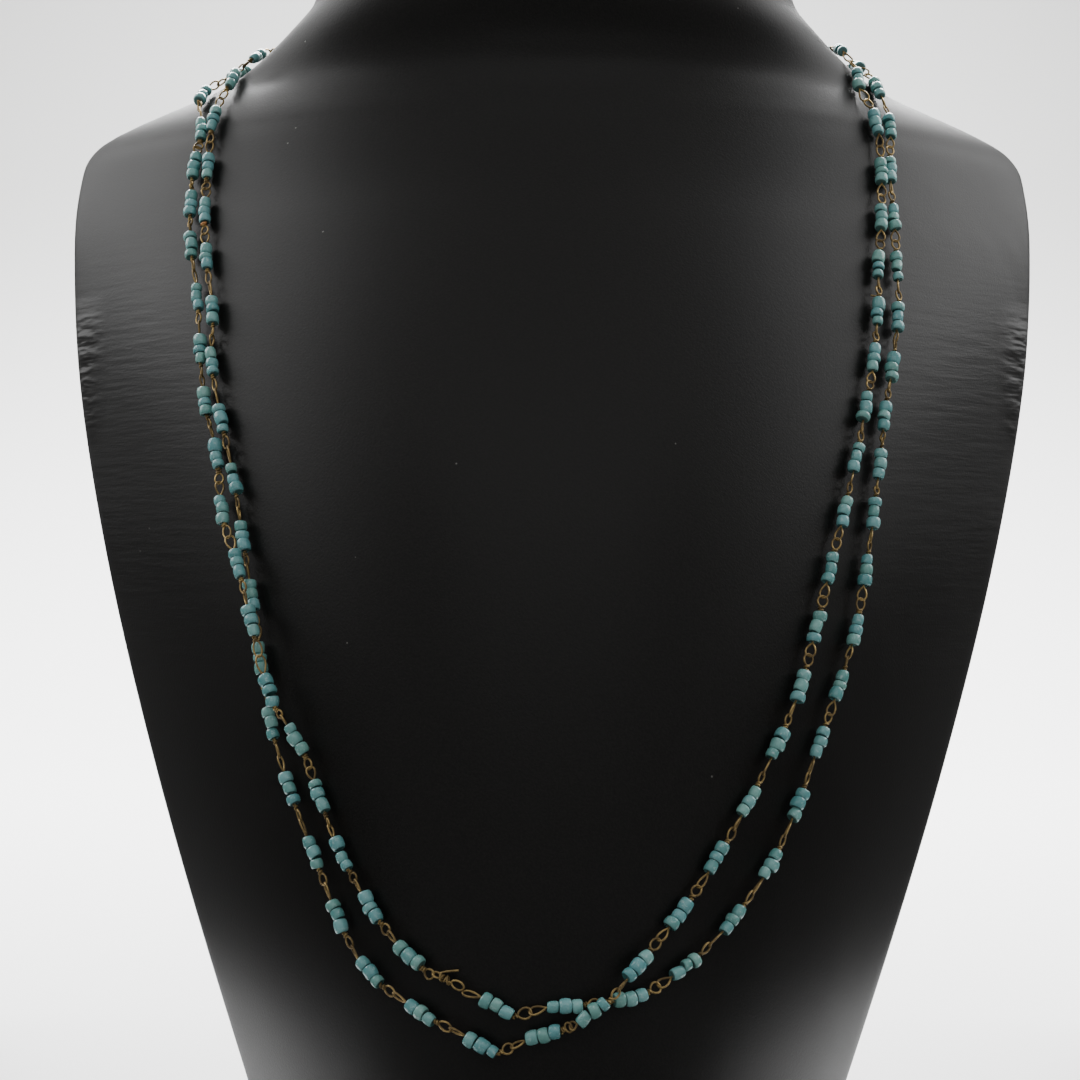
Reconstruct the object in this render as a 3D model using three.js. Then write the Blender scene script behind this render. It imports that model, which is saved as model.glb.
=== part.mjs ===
// A long necklace of turquoise glass beads on brass wire, wound twice round a plain neck bust.
// Millimetres, +Z up, the chest faces -Y and X runs to the right as the bust is looked at.
// The necklace is one closed loop: links of three beads on a short wire, hooked eye to eye.
// Each of its solids is a stretch of the thread that shows the beads, with the eyes as a thin wire.
import * as THREE from "three";
import { LoftGeometry } from "three/addons/geometries/LoftGeometry.js";

// Driving dimensions of the bust.
const BUST_HEIGHT = 315;
const NECK_TOP_ROUNDING = 5;
const BASE_CHAMFER = 1.2;
const EDGE_ROUNDING = 4; // where the chest turns back into the side
const BACK_ROUNDING = 9; // where the side turns into the back
const SIDE_TAPER = 0.94; // half width of the back against half width of the edge
const BACK_BULGE = 2; // how far the middle of the back stands out
const CHEST_END = 232; // below this height a section is a chest: bowed front, sides and a flat back
const NECK_START = 258.5; // above it a section is the oval of the neck
const AXIS_Y = -5; // upright line through the middle of the neck; azimuths are measured round it
const FRONT_STEPS = 13; // from the middle of the front to the edge
const CORNER_STEPS = 4;
const BACK_STEPS = 4; // flats over each half of the back
const NECK_TOP_ANGLES = [30, 60, 85]; // degrees round the rounding of the neck's top
const WIDEST = FRONT_STEPS + CORNER_STEPS / 2; // number of the point where a section is widest

// Driving dimensions of the necklace.
const BEAD_RADIUS = 1.2;
const BEADS_LENGTH = 6.2; // three beads on one link
const WIRE_RADIUS = 0.35; // stands for the eyes between two links, bent from finer wire
const CLEARANCE = 0.3; // between touching solids
const RING_SIDES = 6;

const LEATHERETTE = { color: 0x1d1b19, roughness: 0.55, metalness: 0 };
const TURQUOISE_GLASS = { color: 0x5f9a98, roughness: 0.25, metalness: 0 };
const BRASS_WIRE = { color: 0x6b5a3a, roughness: 0.5, metalness: 1 };

// Sections of the bust from the base up: half width, then the Y of the front, of the edge where the
// section is widest, and of the back.
const BUST_SECTIONS = [
  { height: 0, half: 46, front: -95, edge: -56, back: 12 },
  { height: 30, half: 56, front: -102, edge: -50, back: 13 },
  { height: 60, half: 67, front: -104, edge: -44, back: 15 },
  { height: 100, half: 81.5, front: -99, edge: -32, back: 18 },
  { height: 150, half: 97, front: -87, edge: -15, back: 21 },
  { height: 185, half: 104.5, front: -72, edge: -5, back: 24 },
  { height: 205, half: 107, front: -61, edge: 2, back: 26 },
  { height: 220, half: 108, front: -51, edge: 8, back: 29 },
  { height: 230, half: 107.5, front: -46, edge: 13, back: 31 },
  { height: 235, half: 105, front: -44, edge: 15, back: 32 },
  { height: 240, half: 93.5, front: -42, edge: 12, back: 32 },
  { height: 245, half: 75.5, front: -41, edge: 4, back: 32 },
  { height: 250, half: 67, front: -41, edge: 1, back: 31 },
  { height: 256, half: 60, front: -42, edge: -1, back: 30 },
  { height: 265, half: 52, front: -43, edge: -4, back: 31 },
  { height: 290, half: 50, front: -45, edge: -6, back: 33 },
  { height: 315, half: 50, front: -47, edge: -6, back: 34 },
];

// Heights of the sections that the bust is lofted through: closer where it turns quickly.
const LOFT_STEPS = [
  { upTo: 210, step: 15 },
  { upTo: 230, step: 5 },
  { upTo: 250, step: 2 },
  { upTo: 262, step: 3 },
  { upTo: 274, step: 6 },
  { upTo: BUST_HEIGHT - NECK_TOP_ROUNDING, step: 12 },
];

// The thread's route, by link number along the loop: azimuth in degrees, 0 at the middle of the
// chest and growing to the right, and height.
const ROUTE = [
  { link: 0, azimuth: -96, height: 248.5 },
  { link: 1, azimuth: -89, height: 242 },
  { link: 2, azimuth: -81.5, height: 233 },
  { link: 3, azimuth: -78.5, height: 224.5 },
  { link: 5, azimuth: -71, height: 206.5 },
  { link: 6, azimuth: -65.5, height: 195 },
  { link: 8, azimuth: -58, height: 173.5 },
  { link: 9, azimuth: -53.5, height: 163 },
  { link: 10, azimuth: -50, height: 152 },
  { link: 11, azimuth: -44, height: 141.5 },
  { link: 12, azimuth: -40, height: 131 },
  { link: 13, azimuth: -35.5, height: 118.5 },
  { link: 14, azimuth: -31.5, height: 110 },
  { link: 16, azimuth: -24, height: 90.5 },
  { link: 18, azimuth: -14.5, height: 74.5 },
  { link: 19.5, azimuth: -5, height: 67 },
  { link: 21.5, azimuth: 8, height: 68.5 },
  { link: 22.5, azimuth: 14, height: 73 },
  { link: 24.5, azimuth: 26, height: 89 },
  { link: 26.5, azimuth: 35, height: 110 },
  { link: 28.5, azimuth: 43, height: 130.5 },
  { link: 30.5, azimuth: 49, height: 152.5 },
  { link: 32.5, azimuth: 54.5, height: 171.5 },
  { link: 34.5, azimuth: 62.5, height: 192 },
  { link: 36.5, azimuth: 70, height: 213.5 },
  { link: 38.5, azimuth: 79.5, height: 234.5 },
  { link: 39.5, azimuth: 86, height: 244 },
  { link: 40.5, azimuth: 93, height: 250.5 },
  { link: 42.5, azimuth: 113.5, height: 251.5 },
  { link: 44.5, azimuth: 136.5, height: 251.5 },
  { link: 46, azimuth: 160.5, height: 252 },
  { link: 48, azimuth: 199.5, height: 256 },
  { link: 49.5, azimuth: 223.5, height: 256.5 },
  { link: 51.5, azimuth: 246.5, height: 256.5 },
  { link: 53.5, azimuth: 267.5, height: 251.5 },
  { link: 54.5, azimuth: 273.5, height: 245 },
  { link: 55.5, azimuth: 279.5, height: 235 },
  { link: 56.5, azimuth: 284, height: 224 },
  { link: 58.5, azimuth: 293, height: 203.5 },
  { link: 59.5, azimuth: 298.5, height: 192 },
  { link: 60.5, azimuth: 301.5, height: 181.5 },
  { link: 62.5, azimuth: 311, height: 158 },
  { link: 64.5, azimuth: 317.5, height: 136 },
  { link: 66.5, azimuth: 323, height: 112.5 },
  { link: 68.5, azimuth: 331.5, height: 90 },
  { link: 70.5, azimuth: 340.5, height: 70.5 },
  { link: 71.5, azimuth: 347, height: 65 },
  { link: 72.5, azimuth: 353.5, height: 60.5 },
  { link: 73.5, azimuth: 359.5, height: 62.5 },
  { link: 74.5, azimuth: 364, height: 66.5 },
  { link: 75.5, azimuth: 368.5, height: 74 },
  { link: 76.5, azimuth: 373.5, height: 82 },
  { link: 78.5, azimuth: 383, height: 100.5 },
  { link: 80.5, azimuth: 392, height: 120.5 },
  { link: 82.5, azimuth: 399, height: 142 },
  { link: 84.5, azimuth: 407, height: 163 },
  { link: 86.5, azimuth: 415, height: 183 },
  { link: 88.5, azimuth: 422.5, height: 202.5 },
  { link: 90.5, azimuth: 432.5, height: 223.5 },
  { link: 92.5, azimuth: 442.5, height: 245.5 },
  { link: 93.5, azimuth: 450, height: 253.5 },
  { link: 95.5, azimuth: 473.5, height: 256.5 },
  { link: 97.5, azimuth: 496.5, height: 256.5 },
  { link: 99, azimuth: 520.5, height: 256 },
  { link: 101, azimuth: 559.5, height: 252 },
  { link: 102.5, azimuth: 583.5, height: 251.5 },
  { link: 104.5, azimuth: 606.5, height: 251.5 },
  { link: 106.5, azimuth: 624, height: 248.5 },
];

// Where the thread crosses over itself: the links at which it starts to leave the bust, is fully up,
// starts down and is down again, and how far it is lifted.
const CROSSINGS = [
  { rises: 9.4, up: 11.4, sinks: 13.2, down: 14.6, lift: 2.7 }, // on the left of the chest
  { rises: 73.4, up: 74.6, sinks: 74.9, down: 76.4, lift: 2.2 }, // low on the chest
  { rises: 97.5, up: 99.5, sinks: 100.5, down: 102.5, lift: 2.4 }, // at the nape
];

// The twist of wire that closes the loop, between links 18 and 19.5.
const TWIST = { name: "closing_twist", start: 18.36, end: 18.84, radius: 0.9, taper: 1.2 };

// The solids of the thread, by the numbers of their first and last links. Each starts and ends
// halfway to the next link, or at the closing twist.
const STRETCHES = [
  { name: "turn1_left_top", first: 0, last: 9 },
  { name: "turn1_left_low", first: 10, last: 18, end: TWIST.start },
  { name: "turn1_front", first: 19.5, last: 26.5, start: TWIST.end },
  { name: "turn1_right_low", first: 27.5, last: 33.5 },
  { name: "turn1_right_top", first: 34.5, last: 41.5 },
  { name: "turn1_nape", first: 42.5, last: 52.5 },
  { name: "turn2_left_top", first: 53.5, last: 61.5 },
  { name: "turn2_left_low", first: 62.5, last: 70.5 },
  { name: "turn2_front", first: 71.5, last: 76.5 },
  { name: "turn2_right_low", first: 77.5, last: 85.5 },
  { name: "turn2_right_top", first: 86.5, last: 93.5 },
  { name: "turn2_nape", first: 94.5, last: 105.5 },
];

const BEAD_END_RADIUS = 1.1; // of the flat ends of a link's beads
const BEAD_END = 0.1; // length of the taper from there to the wire
const GROOVE_RADIUS = 0.87; // between two beads

// Rings of one link about the middle of its three beads: place along the wire, and radius.
const LINK_RINGS = [
  { along: -BEADS_LENGTH / 2, radius: WIRE_RADIUS },
  { along: -BEADS_LENGTH / 2 + BEAD_END, radius: BEAD_END_RADIUS },
  { along: -BEADS_LENGTH / 6, radius: GROOVE_RADIUS },
  { along: 0, radius: BEAD_RADIUS },
  { along: BEADS_LENGTH / 6, radius: GROOVE_RADIUS },
  { along: BEADS_LENGTH / 2 - BEAD_END, radius: BEAD_END_RADIUS },
  { along: BEADS_LENGTH / 2, radius: WIRE_RADIUS },
];

// A smooth curve through one column of a table, without overshoot between its rows.
function column(table, input, output) {
  const count = table.length;
  const steps = [];
  const slopes = [];
  for (let i = 0; i < count - 1; i++) {
    steps.push(table[i + 1][input] - table[i][input]);
    slopes.push((table[i + 1][output] - table[i][output]) / steps[i]);
  }
  const tangents = [slopes[0]];
  for (let i = 1; i < count - 1; i++) {
    const turns = slopes[i - 1] * slopes[i] <= 0;
    const before = 2 * steps[i] + steps[i - 1];
    const after = steps[i] + 2 * steps[i - 1];
    tangents.push(turns ? 0 : (before + after) / (before / slopes[i - 1] + after / slopes[i]));
  }
  tangents.push(slopes[count - 2]);
  return (at) => {
    let i = 0;
    while (i < count - 2 && at > table[i + 1][input]) i++;
    const t = (at - table[i][input]) / steps[i];
    const s = 1 - t;
    const start = table[i][output] * (1 + 2 * t) + tangents[i] * steps[i] * t;
    const end = table[i + 1][output] * (1 + 2 * s) - tangents[i + 1] * steps[i] * s;
    return start * s * s + end * t * t;
  };
}

const halfAt = column(BUST_SECTIONS, "height", "half");
const frontAt = column(BUST_SECTIONS, "height", "front");
const edgeAt = column(BUST_SECTIONS, "height", "edge");
const backAt = column(BUST_SECTIONS, "height", "back");

// A rounded corner between two points of an outline, cut to a set size.
function roundCorner(before, corner, after, size) {
  const cutBefore = Math.min(size, before.distanceTo(corner) / 2);
  const cutAfter = Math.min(size, after.distanceTo(corner) / 2);
  const start = corner.clone().add(before.clone().sub(corner).setLength(cutBefore));
  const end = corner.clone().add(after.clone().sub(corner).setLength(cutAfter));
  return new THREE.QuadraticBezierCurve(start, corner, end).getPoints(CORNER_STEPS);
}

// Right half of a chest section, from the middle of the front to the middle of the back.
function chestOutline({ half, front, edge, back }) {
  const bow = (t) => new THREE.Vector2(half * t, front + (edge - front) * t * t);
  const outline = [];
  for (let i = 0; i < FRONT_STEPS; i++) outline.push(bow(i / FRONT_STEPS));
  const edgeCorner = bow(1);
  const backCorner = new THREE.Vector2(half * SIDE_TAPER, back);
  const backMiddle = new THREE.Vector2(0, back + BACK_BULGE);
  outline.push(...roundCorner(bow(1 - 0.5 / FRONT_STEPS), edgeCorner, backCorner, EDGE_ROUNDING));
  outline.push(...roundCorner(edgeCorner, backCorner, backMiddle, BACK_ROUNDING));
  const backEnd = outline[outline.length - 1];
  for (let i = 1; i <= BACK_STEPS; i++) outline.push(backEnd.clone().lerp(backMiddle, i / BACK_STEPS));
  return outline;
}

// Right half of the neck's oval with as many points, so that the two can be mixed.
function neckOutline({ half, front, edge, back }, count) {
  const outline = [];
  for (let i = 0; i < count; i++) {
    const ahead = Math.asin(Math.min(1, i / WIDEST));
    const behind = Math.max(0, i - WIDEST) / (count - 1 - WIDEST);
    const angle = ahead + (behind * Math.PI) / 2;
    const depth = i <= WIDEST ? edge - front : back - edge;
    outline.push(new THREE.Vector2(half * Math.sin(angle), edge - depth * Math.cos(angle)));
  }
  return outline;
}

// The whole outline of the bust at one height, counterclockwise from above; inset draws it in.
function outlineAt(height, inset = 0) {
  const section = {
    half: halfAt(height) - inset,
    front: frontAt(height) + inset,
    edge: edgeAt(height),
    back: backAt(height) - inset,
  };
  const share = THREE.MathUtils.smoothstep(height, CHEST_END, NECK_START);
  const chest = chestOutline(section);
  const neck = neckOutline(section, chest.length);
  const right = chest.map((point, i) => point.lerp(neck[i], share));
  const left = right.slice(1, -1).reverse();
  return [...right, ...left.map((point) => new THREE.Vector2(-point.x, point.y))];
}

// Point of the bust's surface at an azimuth and height, as seen from the neck's axis.
function surfacePoint(azimuth, height) {
  const angle = THREE.MathUtils.degToRad(azimuth);
  const ray = new THREE.Vector2(Math.sin(angle), -Math.cos(angle));
  const outline = outlineAt(height);
  for (let i = 0; i < outline.length; i++) {
    const start = outline[i].clone();
    const side = outline[(i + 1) % outline.length].clone().sub(start);
    start.y -= AXIS_Y;
    const across = ray.cross(side);
    const distance = start.cross(side) / across;
    const share = start.cross(ray) / across;
    if (distance > 0 && share >= 0 && share < 1) {
      return new THREE.Vector3(ray.x * distance, ray.y * distance + AXIS_Y, height);
    }
  }
  throw new Error("no surface at this azimuth");
}

// Direction straight out of the surface there.
function surfaceNormal(azimuth, height) {
  const turn = 1.5; // degrees to each side
  const rise = 1.5; // millimetres up and down
  const across = surfacePoint(azimuth + turn, height).sub(surfacePoint(azimuth - turn, height));
  const up = surfacePoint(azimuth, height + rise).sub(surfacePoint(azimuth, height - rise));
  return across.cross(up).normalize();
}

const azimuthAt = column(ROUTE, "link", "azimuth");
const heightAt = column(ROUTE, "link", "height");

// How far a link is lifted off the bust to lie over another.
function liftAt(link) {
  let total = 0;
  for (const { rises, up, sinks, down, lift } of CROSSINGS) {
    const risen = THREE.MathUtils.smoothstep(link, rises, up);
    const sunk = THREE.MathUtils.smoothstep(link, sinks, down);
    total += lift * (risen - sunk);
  }
  return total;
}

// Middle of the wire at a link number, and the direction out of the bust there.
function threadPoint(link) {
  const azimuth = azimuthAt(link);
  const height = heightAt(link);
  const out = surfaceNormal(azimuth, height);
  const offset = BEAD_RADIUS + CLEARANCE + liftAt(link);
  return { middle: surfacePoint(azimuth, height).addScaledVector(out, offset), out };
}

// Direction of the thread at a link number.
function threadDirection(link) {
  const reach = 0.3; // of a link to each side
  return threadPoint(link + reach).middle.sub(threadPoint(link - reach).middle).normalize();
}

// A ring of points round the thread.
function ring(middle, direction, out, radius) {
  const aside = new THREE.Vector3().crossVectors(direction, out).normalize();
  const upright = new THREE.Vector3().crossVectors(aside, direction);
  const points = [];
  for (let i = 0; i < RING_SIDES; i++) {
    const angle = (i / RING_SIDES) * 2 * Math.PI;
    const point = middle.clone().addScaledVector(aside, radius * Math.cos(angle));
    points.push(point.addScaledVector(upright, -radius * Math.sin(angle)));
  }
  return points;
}

// A ring at a link number, moved along the thread by some millimetres.
function ringAt(link, along, radius) {
  const { middle, out } = threadPoint(link);
  const direction = threadDirection(link);
  return ring(middle.addScaledVector(direction, along), direction, out, radius);
}

function stretchGeometry({ first, last, start = first - 0.5, end = last + 0.5 }) {
  const sections = [ringAt(start, CLEARANCE / 2, WIRE_RADIUS)];
  for (let link = first; link <= last; link++) {
    for (const { along, radius } of LINK_RINGS) sections.push(ringAt(link, along, radius));
  }
  sections.push(ringAt(end, -CLEARANCE / 2, WIRE_RADIUS));
  return new LoftGeometry(sections, { capStart: true, capEnd: true });
}

function twistGeometry({ start, end, radius, taper }) {
  const sections = [
    ringAt(start, CLEARANCE / 2, WIRE_RADIUS),
    ringAt(start, taper, radius),
    ringAt(end, -taper, radius),
    ringAt(end, -CLEARANCE / 2, WIRE_RADIUS),
  ];
  return new LoftGeometry(sections, { capStart: true, capEnd: true });
}

function bustGeometry() {
  const levels = [
    { height: 0, inset: BASE_CHAMFER },
    { height: BASE_CHAMFER, inset: 0 },
  ];
  let height = 0;
  for (const { upTo, step } of LOFT_STEPS) {
    while (height < upTo) {
      height = Math.min(height + step, upTo);
      levels.push({ height, inset: 0 });
    }
  }
  for (const angle of NECK_TOP_ANGLES) {
    const turn = THREE.MathUtils.degToRad(angle);
    levels.push({
      height: BUST_HEIGHT - NECK_TOP_ROUNDING * (1 - Math.sin(turn)),
      inset: NECK_TOP_ROUNDING * (1 - Math.cos(turn)),
    });
  }
  const sections = levels.map((level) =>
    outlineAt(level.height, level.inset).map((p) => new THREE.Vector3(p.x, p.y, level.height)),
  );
  return new LoftGeometry(sections, { capStart: true, capEnd: true });
}

function mesh(name, geometry, finish) {
  const piece = new THREE.Mesh(geometry, new THREE.MeshStandardMaterial(finish));
  piece.name = name;
  return piece;
}

const necklace = new THREE.Group();
necklace.add(mesh("neck_bust", bustGeometry(), LEATHERETTE));
for (const stretch of STRETCHES) {
  necklace.add(mesh(stretch.name, stretchGeometry(stretch), TURQUOISE_GLASS));
}
necklace.add(mesh(TWIST.name, twistGeometry(TWIST), BRASS_WIRE));

// The origin is on the base, under the middle of the whole.
const bounds = new THREE.Box3().setFromObject(necklace);
const middle = bounds.getCenter(new THREE.Vector3());
necklace.position.set(-middle.x, -middle.y, -bounds.min.z);

export default necklace;
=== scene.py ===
import math
import random

import bmesh
import bpy
from mathutils import Matrix, Vector
from mathutils.bvhtree import BVHTree


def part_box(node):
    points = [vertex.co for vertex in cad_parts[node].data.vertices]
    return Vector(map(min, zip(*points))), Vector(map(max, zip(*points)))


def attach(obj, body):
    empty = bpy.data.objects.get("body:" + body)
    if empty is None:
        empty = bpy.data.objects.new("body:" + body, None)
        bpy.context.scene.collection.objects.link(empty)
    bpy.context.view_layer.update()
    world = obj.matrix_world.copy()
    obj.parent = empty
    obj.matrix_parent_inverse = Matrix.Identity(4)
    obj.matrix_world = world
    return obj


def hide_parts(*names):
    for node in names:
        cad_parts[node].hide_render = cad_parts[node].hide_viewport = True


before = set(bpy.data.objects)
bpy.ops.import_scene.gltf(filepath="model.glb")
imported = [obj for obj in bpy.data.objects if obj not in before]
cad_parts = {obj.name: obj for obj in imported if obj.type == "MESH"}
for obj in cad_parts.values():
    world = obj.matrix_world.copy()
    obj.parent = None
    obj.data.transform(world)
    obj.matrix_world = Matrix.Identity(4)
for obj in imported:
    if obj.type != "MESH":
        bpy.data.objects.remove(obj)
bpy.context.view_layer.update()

bl_info = {
    "name": "Beaded necklace on neck bust",
    "version": (1, 0, 0),
    "blender": (4, 5, 0),
    "location": "View3D > Sidebar > Necklace",
    "description": "Covers the neck bust and strings the long beaded necklace on it in two turns",
    "category": "Object",
}

MM = 0.001

# The line of the links over the bust: link number, azimuth in degrees seen from the neck's axis
# (0 ahead, 90 to the right), and height in millimetres.
ROUTE = (
    (0, -96, 248.5),
    (1, -89, 242),
    (2, -81.5, 233),
    (3, -78.5, 224.5),
    (5, -71, 206.5),
    (6, -65.5, 195),
    (8, -58, 173.5),
    (9, -53.5, 163),
    (10, -50, 152),
    (11, -44, 141.5),
    (12, -40, 131),
    (13, -35.5, 118.5),
    (14, -31.5, 110),
    (16, -24, 90.5),
    (18, -14.5, 74.5),
    (19.5, -5, 67),
    (21.5, 8, 68.5),
    (22.5, 14, 73),
    (24.5, 26, 89),
    (26.5, 35, 110),
    (28.5, 43, 130.5),
    (30.5, 49, 152.5),
    (32.5, 54.5, 171.5),
    (34.5, 62.5, 192),
    (36.5, 70, 213.5),
    (38.5, 79.5, 234.5),
    (39.5, 86, 244),
    (40.5, 93, 250.5),
    (42.5, 113.5, 251.5),
    (44.5, 136.5, 251.5),
    (46, 160.5, 252),
    (48, 199.5, 256),
    (49.5, 223.5, 256.5),
    (51.5, 246.5, 256.5),
    (53.5, 267.5, 251.5),
    (54.5, 273.5, 245),
    (55.5, 279.5, 235),
    (56.5, 284, 224),
    (58.5, 293, 203.5),
    (59.5, 298.5, 192),
    (60.5, 301.5, 181.5),
    (62.5, 311, 158),
    (64.5, 317.5, 136),
    (66.5, 323, 112.5),
    (68.5, 331.5, 90),
    (70.5, 340.5, 70.5),
    (71.5, 347, 65),
    (72.5, 353.5, 60.5),
    (73.5, 359.5, 62.5),
    (74.5, 364, 66.5),
    (75.5, 368.5, 74),
    (76.5, 373.5, 82),
    (78.5, 383, 100.5),
    (80.5, 392, 120.5),
    (82.5, 399, 142),
    (84.5, 407, 163),
    (86.5, 415, 183),
    (88.5, 422.5, 202.5),
    (90.5, 432.5, 223.5),
    (92.5, 442.5, 245.5),
    (93.5, 450, 253.5),
    (95.5, 473.5, 256.5),
    (97.5, 496.5, 256.5),
    (99, 520.5, 256),
    (101, 559.5, 252),
    (102.5, 583.5, 251.5),
    (104.5, 606.5, 251.5),
    (106.5, 624, 248.5),
)

# Where the chain lies over itself: the links at which it starts to rise, is up, starts to sink
# and is down again, and how far it is lifted in millimetres.
CROSSINGS = (
    (9.4, 11.4, 13.2, 14.6, 2.7),
    (73.4, 74.6, 74.9, 76.4, 2.2),
    (97.5, 99.5, 100.5, 102.5, 2.4),
)

# The stretches of the chain, with their first and last links.
STRETCHES = (
    ("turn1_left_top", 0, 9),
    ("turn1_left_low", 10, 18),
    ("turn1_front", 19.5, 26.5),
    ("turn1_right_low", 27.5, 33.5),
    ("turn1_right_top", 34.5, 41.5),
    ("turn1_nape", 42.5, 52.5),
    ("turn2_left_top", 53.5, 61.5),
    ("turn2_left_low", 62.5, 70.5),
    ("turn2_front", 71.5, 76.5),
    ("turn2_right_low", 77.5, 85.5),
    ("turn2_right_top", 86.5, 93.5),
    ("turn2_nape", 94.5, 105.5),
)
FIRST_LINK, LAST_LINK = 0, 105.5
LINK_BEFORE_TWIST, LINK_AFTER_TWIST = 18, 19.5

AXIS_Y = -5 * MM  # the neck's axis, from the part's own middle
BREAST_FRONT = -104 * MM  # the foremost line of the breast, from the same middle
PART_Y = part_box("neck_bust")[0].y - BREAST_FRONT  # where that middle stands in the frame
CLEARANCE = 0.3 * MM

# Gaps between the beads of single links, after the first and after the second, in millimetres.
BEAD_GAPS = {
    16: (0.45, 0),
    35.5: (0.4, 0),
    62.5: (0.45, 0),
    67.5: (0, 0.45),
    88.5: (0.4, 0),
    13: (0.05, 0.3),
}

# Links that lie turned from the line of the chain, in degrees to the left.
LINK_TURNS = {19.5: -25, 72.5: -22}

# Single beads that sit askew: link and bead, and their tilt in degrees.
ASKEW = {(13, 2): 24, (69.5, 2): 14, (73.5, 2): 10, (9, 0): 12, (58.5, 0): 9}

STRAY_TAIL_LINK = 87.5  # the link above which a cut end of wire stands out
CORRODED_LINK = 57.5  # the link whose wrap is corroded

# Steps of the wire's lines.
EYE_STEPS = 13
COIL_STEPS_A_TURN = 8

# Room along the chain at the closing twist.
EYES_BEFORE_TWIST = 5.6 * MM
EYES_AFTER_TWIST = 6.6 * MM
BEADS_TO_TWIST = 2.9 * MM
TWIST_TO_BEADS = 6.4 * MM

# The stage, in metres and watts.
PAPER_HALF_SIZE = (0.62, 0.8)
PAPER_MIDDLE_Y = 0.75
PAPER_BACK_Y = 1.5  # behind this line the paper turns up
PAPER_WALL_HEIGHT = 2
PAPER_BEND = 0.7
FLOOR_HALF_SIZE = 6
FLOOR_LEVEL = -0.002
CARD_HEIGHT = 0.15
CARD_LENGTH = 0.32
CARD_PLACE = (0.18, 0.05, 0.078)
WORLD_STRENGTH = 0.4
CAMERA_X = -2.2 * MM
CAMERA_ROLL = math.radians(0.5)
SENSOR_WIDTH = 36  # millimetres
# Name, place, what it is aimed at, size and power.
LIGHTS = (
    ("back", (0, 0.85, 1.0), (0, 0.75, 0), (1.2, 0.6), 70),
    ("front", (0, -1.2, 1.2), (0, 0, 0.15), (2.0, 1.0), 4.2),
    ("top", (0, -0.15, 1.4), (0, 0, 0.15), (1.6, 0.8), 1),
    ("left", (-0.95, 0.3, 0.85), (0, 0.05, 0.25), (0.9, 0.8), 7.5),
    ("right", (0.95, 0.3, 0.85), (0, 0.05, 0.25), (0.9, 0.8), 7.5),
)


class Value:
    """A shader socket that can be used in arithmetic."""

    def __init__(self, shader, socket):
        self.shader = shader
        self.socket = socket

    def math(self, operation, *others):
        inputs = {i: value for i, value in enumerate((self, *others))}
        made = self.shader.node("ShaderNodeMath", {"operation": operation}, inputs)
        return Value(self.shader, made.outputs[0])

    def reflected(self, operation, other):
        made = self.shader.node("ShaderNodeMath", {"operation": operation}, {0: other, 1: self})
        return Value(self.shader, made.outputs[0])

    def __add__(self, other):
        return self.math("ADD", other)

    def __radd__(self, other):
        return self.reflected("ADD", other)

    def __sub__(self, other):
        return self.math("SUBTRACT", other)

    def __rsub__(self, other):
        return self.reflected("SUBTRACT", other)

    def __mul__(self, other):
        return self.math("MULTIPLY", other)

    def __rmul__(self, other):
        return self.reflected("MULTIPLY", other)

    def __abs__(self):
        return self.math("ABSOLUTE")

    def __lt__(self, other):
        return self.math("LESS_THAN", other)

    def __gt__(self, other):
        return self.math("GREATER_THAN", other)

    def ramp(self, low, high):
        """0 below low, 1 above high, smooth between."""
        settings = {"interpolation_type": "SMOOTHSTEP"}
        inputs = {"Value": self, "From Min": low, "From Max": high}
        return Value(self.shader, self.shader.node("ShaderNodeMapRange", settings, inputs).outputs[0])


class Shader:
    """A material under construction, with a Principled shader as its end."""

    def __init__(self, name, **constants):
        self.material = bpy.data.materials.new(name)
        self.material.use_nodes = True
        self.tree = self.material.node_tree
        self.tree.nodes.clear()
        self.surface = self.node("ShaderNodeBsdfPrincipled", {}, constants)
        self.node("ShaderNodeOutputMaterial", {}, {"Surface": self.surface.outputs[0]})

    def node(self, kind, settings, inputs):
        made = self.tree.nodes.new(kind)
        for key, value in settings.items():
            setattr(made, key, value)
        for key, value in inputs.items():
            self.feed(made.inputs[key], value)
        return made

    def feed(self, socket, value):
        if isinstance(value, Value):
            value = value.socket
        if isinstance(value, bpy.types.NodeSocket):
            self.tree.links.new(value, socket)
        else:
            socket.default_value = value

    def set(self, name, value):
        self.feed(self.surface.inputs[name], value)

    def place(self):
        """Place on the piece, in its own coordinates, as a vector and as three values."""
        where = self.node("ShaderNodeTexCoord", {}, {}).outputs["Object"]
        parts = self.node("ShaderNodeSeparateXYZ", {}, {0: where})
        return Value(self, where), [Value(self, out) for out in parts.outputs]

    def scaled(self, vector, scale):
        made = self.node("ShaderNodeVectorMath", {"operation": "MULTIPLY"}, {0: vector, 1: scale})
        return Value(self, made.outputs[0])

    def noise(self, vector, scale, detail=2, roughness=0.5):
        inputs = {"Vector": vector, "Scale": scale, "Detail": detail, "Roughness": roughness}
        return Value(self, self.node("ShaderNodeTexNoise", {}, inputs).outputs[0])

    def specks(self, vector, scale):
        """Distance to the nearest of many scattered points."""
        inputs = {"Vector": vector, "Scale": scale}
        return Value(self, self.node("ShaderNodeTexVoronoi", {}, inputs).outputs["Distance"])

    def mix(self, factor, first, second):
        inputs = {0: factor, 6: first, 7: second}
        return Value(self, self.node("ShaderNodeMix", {"data_type": "RGBA"}, inputs).outputs[2])

    def bump(self, height, distance, strength, below=None):
        inputs = {"Height": height, "Distance": distance, "Strength": strength}
        if below is not None:
            inputs["Normal"] = below
        return Value(self, self.node("ShaderNodeBump", {}, inputs).outputs[0])


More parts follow.
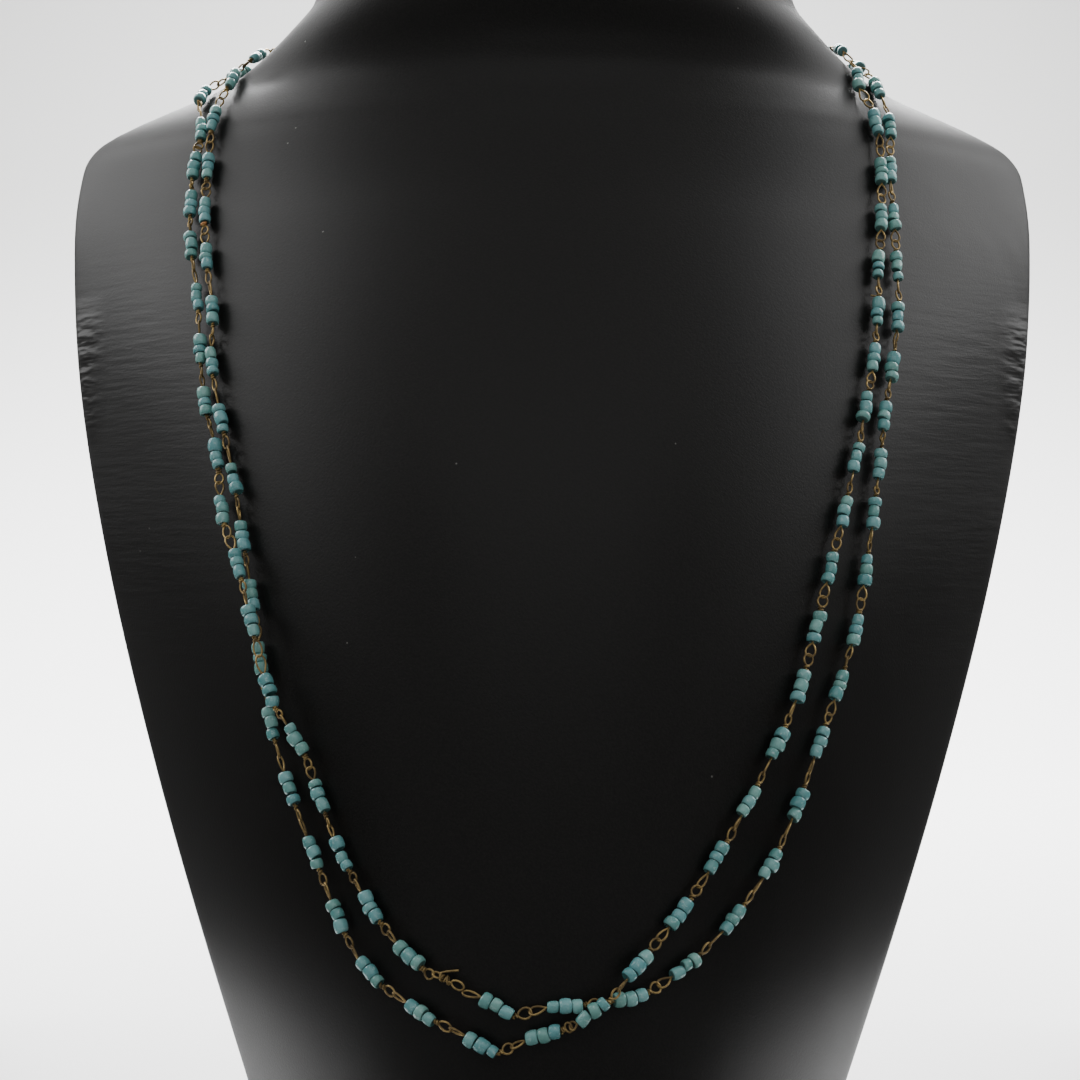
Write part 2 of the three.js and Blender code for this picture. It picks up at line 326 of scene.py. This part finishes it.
def leatherette():
    """Black coated cloth with a fine grain, faint wrinkles at its sides and a little dust."""
    s = Shader("leatherette")
    s.set("Specular IOR Level", 0.2)
    where, (x, _, z) = s.place()
    pores = s.noise(where, 2300, 3, 0.6)
    patches = s.noise(where, 26, 3)
    dust = (s.specks(where, 110) < 0.022) * (s.noise(where, 40) > 0.5)
    base = s.mix(pores.ramp(0.3, 0.75), (0.0045, 0.0042, 0.0038, 1), (0.0085, 0.0078, 0.007, 1))
    base = s.mix(dust * 0.3, base, (0.4, 0.4, 0.37, 1))
    s.set("Base Color", base)
    s.set("Roughness", 0.33 + pores * 0.08 + patches * 0.08)
    wrinkles = s.noise(s.scaled(where, (55, 55, 620)), 1, 3, 0.55)
    at_sides = abs(x).ramp(0.05, 0.09) * z.ramp(0.08, 0.14) * (1 - z.ramp(0.18, 0.22))
    at_edge = abs(x).ramp(0.094, 0.104) * z.ramp(0.165, 0.175) * (1 - z.ramp(0.19, 0.2))
    folds = s.noise(s.scaled(where, (70, 70, 330)), 1, 2)
    grain = s.bump(pores, 0.0001, 0.35)
    creased = s.bump(wrinkles * at_sides, 0.0006, 0.2, grain)
    s.set("Normal", s.bump(folds * at_edge, 0.003, 0.6, creased))
    return s.material


def bead_glass():
    """Opaque turquoise glass, paler and greener from bead to bead, darker at the bead ends and holes as
    painted shade in the grooves, with painted highlight streaks.
    """
    s = Shader("turquoise glass")
    s.set("Coat Roughness", 0.08)
    # the attribute carries each bead's own tone and hue, and a painted-shade mask that is high at the
    # bead's ends and in its hole
    tint_and_end_shade = s.node("ShaderNodeAttribute", {"attribute_name": "tint_and_end_shade"}, {})
    parts = s.node("ShaderNodeSeparateColor", {}, {0: tint_and_end_shade.outputs["Color"]})
    shade, hue, end = [Value(s, out) for out in parts.outputs]
    where, _ = s.place()
    # noise for the painted highlight streaks, also used for the coat and the bumps
    painted_highlight_streaks = s.noise(where, 1100, 3, 0.7)
    cloud = s.noise(where, 380, 2)
    deep = s.mix(hue, (0.08, 0.295, 0.315, 1), (0.12, 0.33, 0.295, 1))
    pale = s.mix(hue, (0.2, 0.48, 0.5, 1), (0.24, 0.5, 0.44, 1))
    amount = shade * 0.7 + cloud.ramp(0.3, 0.7) * 0.3
    base = s.mix(amount, deep, pale)
    # painted highlight: fine whitish streaks mixed into the glass colour
    base = s.mix(painted_highlight_streaks.ramp(0.54, 0.7) * 0.6, base, (0.42, 0.62, 0.6, 1))
    # painted shade: the bead ends and holes are darkened towards near black, for the shade in the
    # grooves between beads and inside the holes
    base = s.mix(end.ramp(0.82, 1.0) * 0.7, base, (0.02, 0.055, 0.05, 1))
    s.set("Base Color", base)
    s.set("Roughness", 0.1 + cloud * 0.25)
    s.set("Coat Weight", 0.25 + painted_highlight_streaks * 0.3)
    s.set("Normal", s.bump(cloud + painted_highlight_streaks * 0.4, 0.0003, 0.7))
    return s.material


def aged_brass(name="aged brass", dull=(0.15, 0.1, 0.038, 1), bright=(0.44, 0.31, 0.125, 1)):
    """Thin brass wire gone brown, brighter where it is rubbed."""
    s = Shader(name)
    where, _ = s.place()
    age = s.noise(where, 420, 3, 0.6)
    worn = age.ramp(0.35, 0.65)
    s.set("Base Color", s.mix(worn, dull, bright))
    s.set("Metallic", 0.45 + worn * 0.4)
    s.set("Roughness", 0.5 - worn * 0.15)
    return s.material


def plain(name, colour, roughness):
    """An even matt finish, for the stage."""
    s = Shader(name, Roughness=roughness)
    s.set("Base Color", (*colour, 1))
    return s.material


def curve_through(rows, output):
    """A smooth curve through one column of a table, without overshoot between its rows."""
    at = [row[0] for row in rows]
    values = [row[output] for row in rows]
    steps = [b - a for a, b in zip(at, at[1:])]
    slopes = [(b - a) / step for a, b, step in zip(values, values[1:], steps)]
    tangents = [slopes[0]]
    for i in range(1, len(slopes)):
        before = 2 * steps[i] + steps[i - 1]
        after = steps[i] + 2 * steps[i - 1]
        turns = slopes[i - 1] * slopes[i] <= 0
        tangents.append(0 if turns else (before + after) / (before / slopes[i - 1] + after / slopes[i]))
    tangents.append(slopes[-1])

    def value(link):
        i = 0
        while i < len(steps) - 1 and link > at[i + 1]:
            i += 1
        t = (link - at[i]) / steps[i]
        s = 1 - t
        start = values[i] * (1 + 2 * t) + tangents[i] * steps[i] * t
        end = values[i + 1] * (1 + 2 * s) - tangents[i + 1] * steps[i] * s
        return start * s * s + end * t * t

    return value


def smooth(value, low, high):
    """0 below low, 1 above high, smooth between."""
    t = min(1, max(0, (value - low) / (high - low)))
    return t * t * (3 - 2 * t)


class Thread:
    """The line that the chain follows over the bust."""

    def __init__(self, radius):
        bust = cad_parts["neck_bust"].data
        corners = [v.co.copy() for v in bust.vertices]
        self.surface = BVHTree.FromPolygons(corners, [tuple(p.vertices) for p in bust.polygons])
        self.radius = radius
        self.azimuth = curve_through(ROUTE, 1)
        self.height = curve_through(ROUTE, 2)

    def on_surface(self, azimuth, height):
        angle = math.radians(azimuth)
        start = Vector((0, AXIS_Y + PART_Y, height))
        hit = self.surface.ray_cast(start, Vector((math.sin(angle), -math.cos(angle), 0)))[0]
        if hit is None:
            raise RuntimeError("the bust has no surface at this azimuth")
        return hit

    def lift(self, link):
        """How far the chain is raised at a link, where it lies over itself."""
        total = 0
        for rises, up, sinks, down, lift in CROSSINGS:
            total += lift * MM * (smooth(link, rises, up) - smooth(link, sinks, down))
        return total

    def point(self, link):
        """Middle of the thread at a link number, and the direction out of the bust there."""
        azimuth, height = self.azimuth(link), self.height(link) * MM
        turn, rise = 1.5, 1.5 * MM  # degrees and metres to the points that give the slope
        across = self.on_surface(azimuth + turn, height) - self.on_surface(azimuth - turn, height)
        up = self.on_surface(azimuth, height + rise) - self.on_surface(azimuth, height - rise)
        out = across.cross(up).normalized()
        offset = self.radius + CLEARANCE + self.lift(link)
        return self.on_surface(azimuth, height) + out * offset, out

    def frame(self, link):
        """Middle, direction along, direction aside and direction out at a link."""
        reach = 0.3  # part of a link, to the points that give the direction
        middle, out = self.point(link)
        along = (self.point(link + reach)[0] - self.point(link - reach)[0]).normalized()
        along = Matrix.Rotation(math.radians(LINK_TURNS.get(link, 0)), 3, out) @ along
        aside = along.cross(out).normalized()
        return middle, along, aside, aside.cross(along)


def link_numbers(first, last):
    return [first + i for i in range(round(last - first) + 1)]


def new_object(name, data, material, slot=None, replaces=()):
    """An object in the scene. With a slot it is a piece, without one a part of the stage."""
    made = bpy.data.objects.new(name, data)
    bpy.context.scene.collection.objects.link(made)
    made.data.materials.append(material)
    if slot:
        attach(made, "root")
        if replaces:
            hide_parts(*replaces)
    return made


def mesh_from(bm, name):
    mesh = bpy.data.meshes.new(name)
    for face in bm.faces:
        face.smooth = True
    bm.to_mesh(mesh)
    bm.free()
    return mesh


def subdivided(made, levels):
    modifier = made.modifiers.new("smooth", "SUBSURF")
    modifier.levels = modifier.render_levels = levels


def material_named(name, maker):
    return bpy.data.materials.get(name) or maker()


class BustSettings(bpy.types.PropertyGroup):
    smoothing: bpy.props.IntProperty(
        name="Smoothing", description="Rounds of subdivision of the cover", default=2, min=0, max=3
    )


class ChainSettings(bpy.types.PropertyGroup):
    bead_width: bpy.props.FloatProperty(
        name="Bead width",
        description="Mean width of a bead",
        default=2.55 * MM,
        subtype="DISTANCE",
        unit="LENGTH",
    )
    beads_length: bpy.props.FloatProperty(
        name="Beads length",
        description="Length of the three beads of a link together",
        default=6.2 * MM,
        subtype="DISTANCE",
        unit="LENGTH",
    )
    wire_width: bpy.props.FloatProperty(
        name="Wire width",
        description="Thickness of the brass wire",
        default=0.4 * MM,
        subtype="DISTANCE",
        unit="LENGTH",
    )
    eye_width: bpy.props.FloatProperty(
        name="Eye width",
        description="Width of a wire eye, over its outside",
        default=2.15 * MM,
        subtype="DISTANCE",
        unit="LENGTH",
    )
    seed: bpy.props.IntProperty(
        name="Seed", description="Which irregularities the beads and eyes get", default=11
    )


class StudioSettings(bpy.types.PropertyGroup):
    distance: bpy.props.FloatProperty(
        name="Camera distance",
        description="How far ahead of the bust's middle the camera stands",
        default=0.46,
        subtype="DISTANCE",
        unit="LENGTH",
    )
    height: bpy.props.FloatProperty(
        name="Camera height",
        description="Height of the camera over the floor",
        default=0.147,
        subtype="DISTANCE",
        unit="LENGTH",
    )
    lens: bpy.props.FloatProperty(
        name="Lens",
        description="Focal length",
        default=69.4,
        subtype="DISTANCE_CAMERA",
        unit="CAMERA",
    )


class NECKLACE_OT_cover_bust(bpy.types.Operator):
    """Cover the neck bust in black leatherette"""

    bl_idname = "necklace.cover_bust"
    bl_label = "Cover bust"

    MERGE = 0.02 * MM
    LEVEL = 0.01 * MM  # faces this flat are one face
    BASE_EDGE = 1.3 * MM  # height of the base's chamfer, which stays crisp
    CRISPNESS = 0.6
    ANY_ANGLE = 3.14

    def execute(self, context):
        bm = bmesh.new()
        bm.from_mesh(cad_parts["neck_bust"].data)
        bmesh.ops.remove_doubles(bm, verts=bm.verts, dist=self.MERGE)
        heights = [v.co.z for v in bm.verts]
        for level in (min(heights), max(heights)):
            flat = [f for f in bm.faces if all(abs(v.co.z - level) < self.LEVEL for v in f.verts)]
            bmesh.ops.dissolve_faces(bm, faces=flat)
        triangles = [f for f in bm.faces if len(f.verts) == 3]
        bmesh.ops.join_triangles(
            bm,
            faces=triangles,
            angle_face_threshold=self.ANY_ANGLE,
            angle_shape_threshold=self.ANY_ANGLE,
        )
        crease = bm.edges.layers.float.new("crease_edge")
        for edge in bm.edges:
            if all(v.co.z < min(heights) + self.BASE_EDGE for v in edge.verts):
                edge[crease] = self.CRISPNESS
        bmesh.ops.recalc_face_normals(bm, faces=bm.faces)
        cover = new_object(
            "bust_cover",
            mesh_from(bm, "bust_cover"),
            leatherette(),
            "leatherette",
            ["neck_bust"],
        )
        subdivided(cover, context.scene.necklace_bust.smoothing)
        return {"FINISHED"}


def bead_template():
    """One bead of width 2 and length 2: a short tube with rounded rims and dimpled ends."""
    bm = bmesh.new()
    bmesh.ops.create_cone(
        bm, cap_ends=True, cap_tris=False, segments=10, radius1=1, radius2=1, depth=2
    )
    rims = [e for e in bm.edges if abs(e.verts[0].co.z - e.verts[1].co.z) < 0.1]
    bmesh.ops.bevel(
        bm, geom=rims, offset=0.3, segments=1, profile=0.5, affect="EDGES", material=-1
    )
    ends = [f for f in bm.faces if abs(f.normal.z) > 0.95 and len(f.verts) > 4]
    bmesh.ops.inset_individual(bm, faces=ends, thickness=0.34, depth=-0.16)
    mesh = bpy.data.meshes.new("bead")
    bm.to_mesh(mesh)
    bm.free()
    return mesh


def add_bead(bm, tint_and_end_shade, template, placed, chance):
    """One slightly irregular bead."""
    start = len(bm.verts)
    bm.from_mesh(template)
    bm.verts.ensure_lookup_table()
    taper = chance.uniform(-0.07, 0.07)
    wedge = chance.uniform(-0.12, 0.12)
    lean = chance.uniform(-0.1, 0.1)
    shade, hue = chance.uniform(0.0, 1.0), chance.uniform(0.0, 1.0)
    for vertex in bm.verts[start:]:
        x, y, z = vertex.co
        # painted-shade mask: the bead's ends and its hole get high values, which the glass darkens as
        # the shade in the grooves
        end = abs(z) if x * x + y * y > 0.5 else 1.3
        vertex[tint_and_end_shade] = (shade, hue, end * 0.8, 1)
        vertex.co = (x * (1 + taper * z), y * (1 + taper * z), z * (1 + wedge * x) + lean * y)
    bmesh.ops.transform(bm, matrix=placed, verts=bm.verts[start:])


class NECKLACE_OT_string_beads(bpy.types.Operator):
    """String the beads of every stretch, three to a link"""

    bl_idname = "necklace.string_beads"
    bl_label = "String beads"

    def execute(self, context):
        settings = context.scene.necklace_chain
        thread = Thread(settings.bead_width / 2)
        template = bead_template()
        glass = bead_glass()
        for name, first, last in STRETCHES:
            bm = bmesh.new()
            tint_and_end_shade = bm.verts.layers.float_color.new("tint_and_end_shade")
            for link in link_numbers(first, last):
                self.string_link(bm, tint_and_end_shade, template, thread, link, settings)
            bmesh.ops.recalc_face_normals(bm, faces=bm.faces)
            made = new_object(
                "beads_" + name, mesh_from(bm, "beads_" + name), glass, "beads", [name]
            )
            subdivided(made, 1)
        bpy.data.meshes.remove(template)
        return {"FINISHED"}

    def string_link(self, bm, tint_and_end_shade, template, thread, link, settings):
        chance = random.Random(settings.seed * 1000 + link * 10)
        gaps = [gap * MM for gap in BEAD_GAPS.get(link, (0, 0))]
        shares = [chance.uniform(0.68, 1.34) for _ in range(3)]
        room = settings.beads_length - sum(gaps) * 0.5
        lengths = [room * share / sum(shares) for share in shares]
        middle, along, aside, out = thread.frame(link)
        basis = Matrix((aside, out, along)).transposed().to_4x4()
        place = -(sum(lengths) + sum(gaps)) / 2
        for i, length in enumerate(lengths):
            width = settings.bead_width / 2 * chance.uniform(0.88, 1.17)
            offset = chance.uniform(-0.26, 0.26) * MM
            centre = middle + along * (place + length / 2) + aside * offset
            tilt = math.radians(ASKEW.get((link, i), chance.gauss(0, 7)))
            placed = (
                Matrix.Translation(centre)
                @ basis
                @ Matrix.Rotation(tilt, 4, "Y")
                @ Matrix.Rotation(chance.uniform(0, math.tau), 4, "Z")
                @ Matrix.Diagonal((width * 1.06, width * chance.uniform(0.97, 1.1), length * 0.53, 1))
            )
            add_bead(bm, tint_and_end_shade, template, placed, chance)
            place += length + (gaps[i] if i < 2 else 0)


def eye(start, along, aside, length, half_width, pinch):
    """Points round one wire eye, from its neck back to its neck: round, or pinched to a drop."""
    widest = 1 - 0.23 * pinch
    points = []
    for i in range(EYE_STEPS + 1):
        turn = 0.16 + (math.tau - 0.32) * i / EYE_STEPS
        ahead = length * (1 - math.cos(turn)) / 2
        off = half_width * math.sin(turn) * math.sin(turn / 2) ** pinch / widest
        points.append(start + along * ahead + aside * off)
    return points


def coil(start, along, aside, out, length, radius, turns):
    """Points of a wrap round the wire, from its start along its length."""
    steps = int(turns * COIL_STEPS_A_TURN)
    points = []
    for i in range(steps + 1):
        angle = math.tau * i / COIL_STEPS_A_TURN
        round_wire = aside * math.cos(angle) + out * math.sin(angle)
        points.append(start + along * (length * i / steps) + round_wire * radius)
    return points


class Wire:
    """A curve object of thin round wire, one spline for each piece of wire."""

    def __init__(self, name, width):
        self.curve = bpy.data.curves.new(name, "CURVE")
        self.curve.dimensions = "3D"
        self.curve.bevel_depth = width / 2
        self.curve.bevel_resolution = 1
        self.curve.use_fill_caps = True

    def add(self, points):
        spline = self.curve.splines.new("POLY")
        spline.points.add(len(points) - 1)
        for knot, point in zip(spline.points, points):
            knot.co = (*point, 1)


def joint(thread, before, after, beads_length):
    """Ends of the beads of two neighbouring links, and directions between them."""
    first, along_first, _, _ = thread.frame(before)
    second, along_second, _, _ = thread.frame(after)
    start = first + along_first * (beads_length / 2)
    end = second - along_second * (beads_length / 2)
    along = (end - start).normalized()
    _, out = thread.point((before + after) / 2)
    aside = along.cross(out).normalized()
    return start, end, along, aside, aside.cross(along)


def turned(aside, out, angle):
    """The direction aside, turned outwards by an angle."""
    return aside * math.cos(angle) + out * math.sin(angle)


class NECKLACE_OT_link_wires(bpy.types.Operator):
    """Link the beads with brass wire: an eye, a short wrap and an eye between every two"""

    bl_idname = "necklace.link_wires"
    bl_label = "Link wires"

    def execute(self, context):
        settings = context.scene.necklace_chain
        thread = Thread(settings.bead_width / 2)
        brass = material_named("aged brass", aged_brass)
        for name, first, last in STRETCHES:
            wire = Wire("wire_" + name, settings.wire_width)
            for link in link_numbers(first, last):
                self.end_eye(wire, thread, link, settings)
                self.start_eye(wire, thread, link, settings)
                if link == STRAY_TAIL_LINK:
                    self.stray_tail(wire, thread, link)
            new_object("wire_" + name, wire.curve, brass, "wire")
        return {"FINISHED"}

    def split(self, start, end, wire_width, chance):
        """Length of the wrap and of the two hooked eyes between two links."""
        wrap = chance.uniform(0.8, 1.15) * MM
        both = (end - start).length - wrap + 2 * wire_width
        share = chance.uniform(0.38, 0.45)
        return wrap, both * share, both * (1 - share)

    def end_eye(self, wire, thread, link, settings):
        """After the beads: wire out of them, round eye, wrap back to the beads."""
        before_twist = link == LINK_BEFORE_TWIST
        after = link + (0.7 if before_twist else 1)
        start, end, along, aside, out = joint(thread, link, after, settings.beads_length)
        if before_twist:
            end = start + along * EYES_BEFORE_TWIST
        chance = random.Random(settings.seed * 3000 + link * 10)
        thick = settings.wire_width
        wrap, length, _ = self.split(start, end, thick, chance)
        angle = math.radians(chance.choice((-1, 1)) * chance.uniform(0, 38))
        half = (settings.eye_width - thick) / 2 * chance.uniform(0.9, 1.15)
        neck = start + along * wrap
        flat = turned(aside, out, angle)
        pinch = chance.choice((0.05, 0.15, 0.4))
        points = [start - along * 0.4 * MM, start + along * 0.1 * MM, neck]
        points += eye(neck, along, flat, length - thick / 2, half, pinch)
        wraps = chance.choice((1.25, 1.5, 2))
        points += coil(neck, -along, flat, out, wrap - 0.1 * MM, thick * 0.92, wraps)
        wire.add(points + [points[-1] + flat * chance.uniform(0.1, 0.4) * MM])

    def start_eye(self, wire, thread, link, settings):
        """Before the beads: a longer eye, drawn out to a point at the beads."""
        place = LAST_LINK + 1 if link == FIRST_LINK else link
        start, end, along, aside, out = joint(thread, place - 1, place, settings.beads_length)
        if link == LINK_AFTER_TWIST:
            start = end - along * EYES_AFTER_TWIST
        before = LAST_LINK if link == FIRST_LINK else place - 1
        chance = random.Random(settings.seed * 3000 + before * 10)
        thick = settings.wire_width
        _, _, length = self.split(start, end, thick, chance)
        angle = math.radians(chance.choice((-1, 1)) * chance.uniform(28, 78))
        half = (settings.eye_width - thick) / 2 * chance.uniform(0.85, 1.1)
        flat = turned(aside, out, angle)
        points = [end + along * 0.4 * MM, end - along * 0.1 * MM]
        points += eye(end - along * 0.15 * MM, -along, flat, length - thick / 2 - 0.15 * MM, half, 1)
        wire.add(points + [end + flat * 0.1 * MM])

    def stray_tail(self, wire, thread, link):
        """A cut end of wire that stands out sideways above one link."""
        middle, along, _, out = thread.frame(link)
        start = middle + along * 3.3 * MM
        left = Vector((-1, 0, 0.1))
        bend = start + left * 0.9 * MM + out * 0.3 * MM
        wire.add([start, bend, start + left * 2 * MM + out * 0.5 * MM])


class NECKLACE_OT_twist_closing(bpy.types.Operator):
    """Twist the wire that closes the loop, with its cut end standing out"""

    bl_idname = "necklace.twist_closing"
    bl_label = "Closing twist"

    def execute(self, context):
        settings = context.scene.necklace_chain
        thread = Thread(settings.bead_width / 2)
        thick = settings.wire_width
        start, end, along, aside, out = joint(
            thread, LINK_BEFORE_TWIST, LINK_AFTER_TWIST, settings.beads_length
        )
        wire = Wire("wire_closing_twist", thick)
        room = (end - start).length
        first = start + along * BEADS_TO_TWIST
        last = start + along * (room - TWIST_TO_BEADS)
        length = (last - first).length
        flat = turned(aside, out, 1.0)
        wrap = first + along * 1.2 * MM
        points = eye(first + along * 1.6 * MM, -along, flat, 2.1 * MM, 0.6 * MM, 0.3)
        points += coil(wrap, along, aside, out, length - 1.2 * MM, 0.5 * MM, 2.25)
        points += eye(last + along * 0.3 * MM, along, aside, 2.5 * MM, 0.75 * MM, 0.1)
        points += coil(last, -along, aside, out, length * 0.7, 0.62 * MM, 1.5)
        tip = points[-1]
        points += [tip + Vector((0.9, -0.3, 0.3)) * MM, tip + Vector((3.1, -0.2, 0.5)) * MM]
        wire.add(points)
        brass = material_named("aged brass", aged_brass)
        new_object("wire_closing_twist", wire.curve, brass, "wire", ["closing_twist"])
        return {"FINISHED"}


class NECKLACE_OT_corroded_spot(bpy.types.Operator):
    """The blob of orange corrosion on one wrap of the wire"""

    bl_idname = "necklace.corroded_spot"
    bl_label = "Corroded spot"

    def execute(self, context):
        settings = context.scene.necklace_chain
        thread = Thread(settings.bead_width / 2)
        middle, along, aside, out = thread.frame(CORRODED_LINK)
        bm = bmesh.new()
        bmesh.ops.create_icosphere(bm, subdivisions=2, radius=0.62 * MM)
        chance = random.Random(settings.seed)
        for vertex in bm.verts:
            vertex.co *= chance.uniform(0.8, 1.2)
        basis = Matrix((aside, out, along)).transposed().to_4x4()
        centre = middle + along * 3.6 * MM + out * 0.2 * MM
        placed = Matrix.Translation(centre) @ basis @ Matrix.Diagonal((1.35, 0.9, 0.9, 1))
        bmesh.ops.transform(bm, matrix=placed, verts=bm.verts)
        rust = aged_brass("corrosion", (0.2, 0.075, 0.025, 1), (0.5, 0.24, 0.09, 1))
        new_object("corroded_spot", mesh_from(bm, "corroded_spot"), rust, "wire")
        return {"FINISHED"}


def soft_box(name, place, aim, size, power):
    """A rectangular light, turned to what it is aimed at."""
    light = bpy.data.lights.new(name, "AREA")
    light.shape = "RECTANGLE"
    light.size, light.size_y = size
    light.energy = power
    made = bpy.data.objects.new(name, light)
    bpy.context.scene.collection.objects.link(made)
    made.location = place
    made.rotation_mode = "QUATERNION"
    made.rotation_quaternion = (Vector(aim) - Vector(place)).to_track_quat("-Z", "Y")


class NECKLACE_OT_set_stage(bpy.types.Operator):
    """Set the pale sweep, the dark cards, the soft lights and the camera"""

    bl_idname = "necklace.set_stage"
    bl_label = "Stage"

    def execute(self, context):
        self.sweep()
        self.flags()
        self.lights(context.scene)
        self.camera(context.scene)
        return {"FINISHED"}

    def sweep(self):
        """A roll of white paper that curves up into the wall behind, on a grey floor."""
        bm = bmesh.new()
        bmesh.ops.create_grid(bm, x_segments=1, y_segments=1, size=1)
        bmesh.ops.scale(bm, verts=bm.verts, vec=(*PAPER_HALF_SIZE, 1))
        bmesh.ops.translate(bm, verts=bm.verts, vec=(0, PAPER_MIDDLE_Y, 0))
        back = [e for e in bm.edges if all(v.co.y > PAPER_BACK_Y for v in e.verts)]
        raised = bmesh.ops.extrude_edge_only(bm, edges=back)["geom"]
        corners = [g for g in raised if isinstance(g, bmesh.types.BMVert)]
        bmesh.ops.translate(bm, verts=corners, vec=(0, 0, PAPER_WALL_HEIGHT))
        bmesh.ops.bevel(
            bm, geom=back, offset=PAPER_BEND, segments=16, profile=0.5, affect="EDGES", material=-1
        )
        bmesh.ops.recalc_face_normals(bm, faces=bm.faces)
        paper = Shader("white paper", Roughness=0.9)
        _, (_, _, height) = paper.place()
        # painted shade: the white paper's colour darkens with height, from the floor up the wall
        painted_wall_shade = height.ramp(0.02, 0.5)
        paper.set("Base Color", paper.mix(painted_wall_shade, (0.93, 0.93, 0.93, 1), (0.5, 0.5, 0.495, 1)))
        new_object("sweep", mesh_from(bm, "sweep"), paper.material)
        bm = bmesh.new()
        bmesh.ops.create_grid(bm, x_segments=1, y_segments=1, size=FLOOR_HALF_SIZE)
        bmesh.ops.translate(bm, verts=bm.verts, vec=(0, 0, FLOOR_LEVEL))
        grey = plain("grey floor", (0.2, 0.2, 0.2), 0.7)
        new_object("floor", mesh_from(bm, "floor"), grey)

    def flags(self):
        """Dark cards low beside the bust, which keep the paper's glare off its sides."""
        black = plain("dark card", (0.05, 0.05, 0.05), 0.9)
        aside, back, height = CARD_PLACE
        for side, name in ((-1, "flag_left"), (1, "flag_right")):
            bm = bmesh.new()
            bmesh.ops.create_grid(bm, x_segments=1, y_segments=1, size=0.5)
            bmesh.ops.scale(bm, verts=bm.verts, vec=(CARD_HEIGHT, CARD_LENGTH, 1))
            bmesh.ops.rotate(bm, verts=bm.verts, matrix=Matrix.Rotation(math.pi / 2, 3, "Y"))
            bmesh.ops.translate(bm, verts=bm.verts, vec=(side * aside, back, height))
            card = new_object(name, mesh_from(bm, name), black)
            card.visible_camera = False

    def lights(self, scene):
        world = bpy.data.worlds.new("studio")
        world.use_nodes = True
        background = world.node_tree.nodes["Background"]
        background.inputs["Color"].default_value = (1, 1, 1, 1)
        background.inputs["Strength"].default_value = WORLD_STRENGTH
        scene.world = world
        for light in LIGHTS:
            soft_box(*light)

    def camera(self, scene):
        settings = scene.necklace_studio
        data = bpy.data.cameras.new("camera")
        data.sensor_width = SENSOR_WIDTH
        data.lens = settings.lens
        made = bpy.data.objects.new("camera", data)
        scene.collection.objects.link(made)
        made.location = (CAMERA_X, PART_Y - settings.distance, settings.height)
        made.rotation_euler = (math.pi / 2, -CAMERA_ROLL, 0)
        scene.camera = made


class NECKLACE_PT_sidebar(bpy.types.Panel):
    """Shows the settings and the building steps of the necklace and its stage"""

    bl_idname = "NECKLACE_PT_sidebar"
    bl_label = "Beaded necklace"
    bl_space_type = "VIEW_3D"
    bl_region_type = "UI"
    bl_category = "Necklace"

    def draw(self, context):
        layout = self.layout
        for group in (
            context.scene.necklace_bust,
            context.scene.necklace_chain,
            context.scene.necklace_studio,
        ):
            for key in group.__annotations__:
                layout.prop(group, key)
        for operator in OPERATORS:
            layout.operator(operator.bl_idname)


SETTINGS = {
    "necklace_bust": BustSettings,
    "necklace_chain": ChainSettings,
    "necklace_studio": StudioSettings,
}
OPERATORS = (
    NECKLACE_OT_cover_bust,
    NECKLACE_OT_string_beads,
    NECKLACE_OT_link_wires,
    NECKLACE_OT_twist_closing,
    NECKLACE_OT_corroded_spot,
    NECKLACE_OT_set_stage,
)


def register():
    for name, group in SETTINGS.items():
        bpy.utils.register_class(group)
        setattr(bpy.types.Scene, name, bpy.props.PointerProperty(type=group))
    for operator in OPERATORS:
        bpy.utils.register_class(operator)
    bpy.utils.register_class(NECKLACE_PT_sidebar)


def unregister():
    bpy.utils.unregister_class(NECKLACE_PT_sidebar)
    for operator in reversed(OPERATORS):
        bpy.utils.unregister_class(operator)
    for name, group in SETTINGS.items():
        delattr(bpy.types.Scene, name)
        bpy.utils.unregister_class(group)


def main():
    register()
    bpy.ops.necklace.cover_bust()
    bpy.ops.necklace.string_beads()
    bpy.ops.necklace.link_wires()
    bpy.ops.necklace.twist_closing()
    bpy.ops.necklace.corroded_spot()
    bpy.ops.necklace.set_stage()


if __name__ == "__main__":
    main()
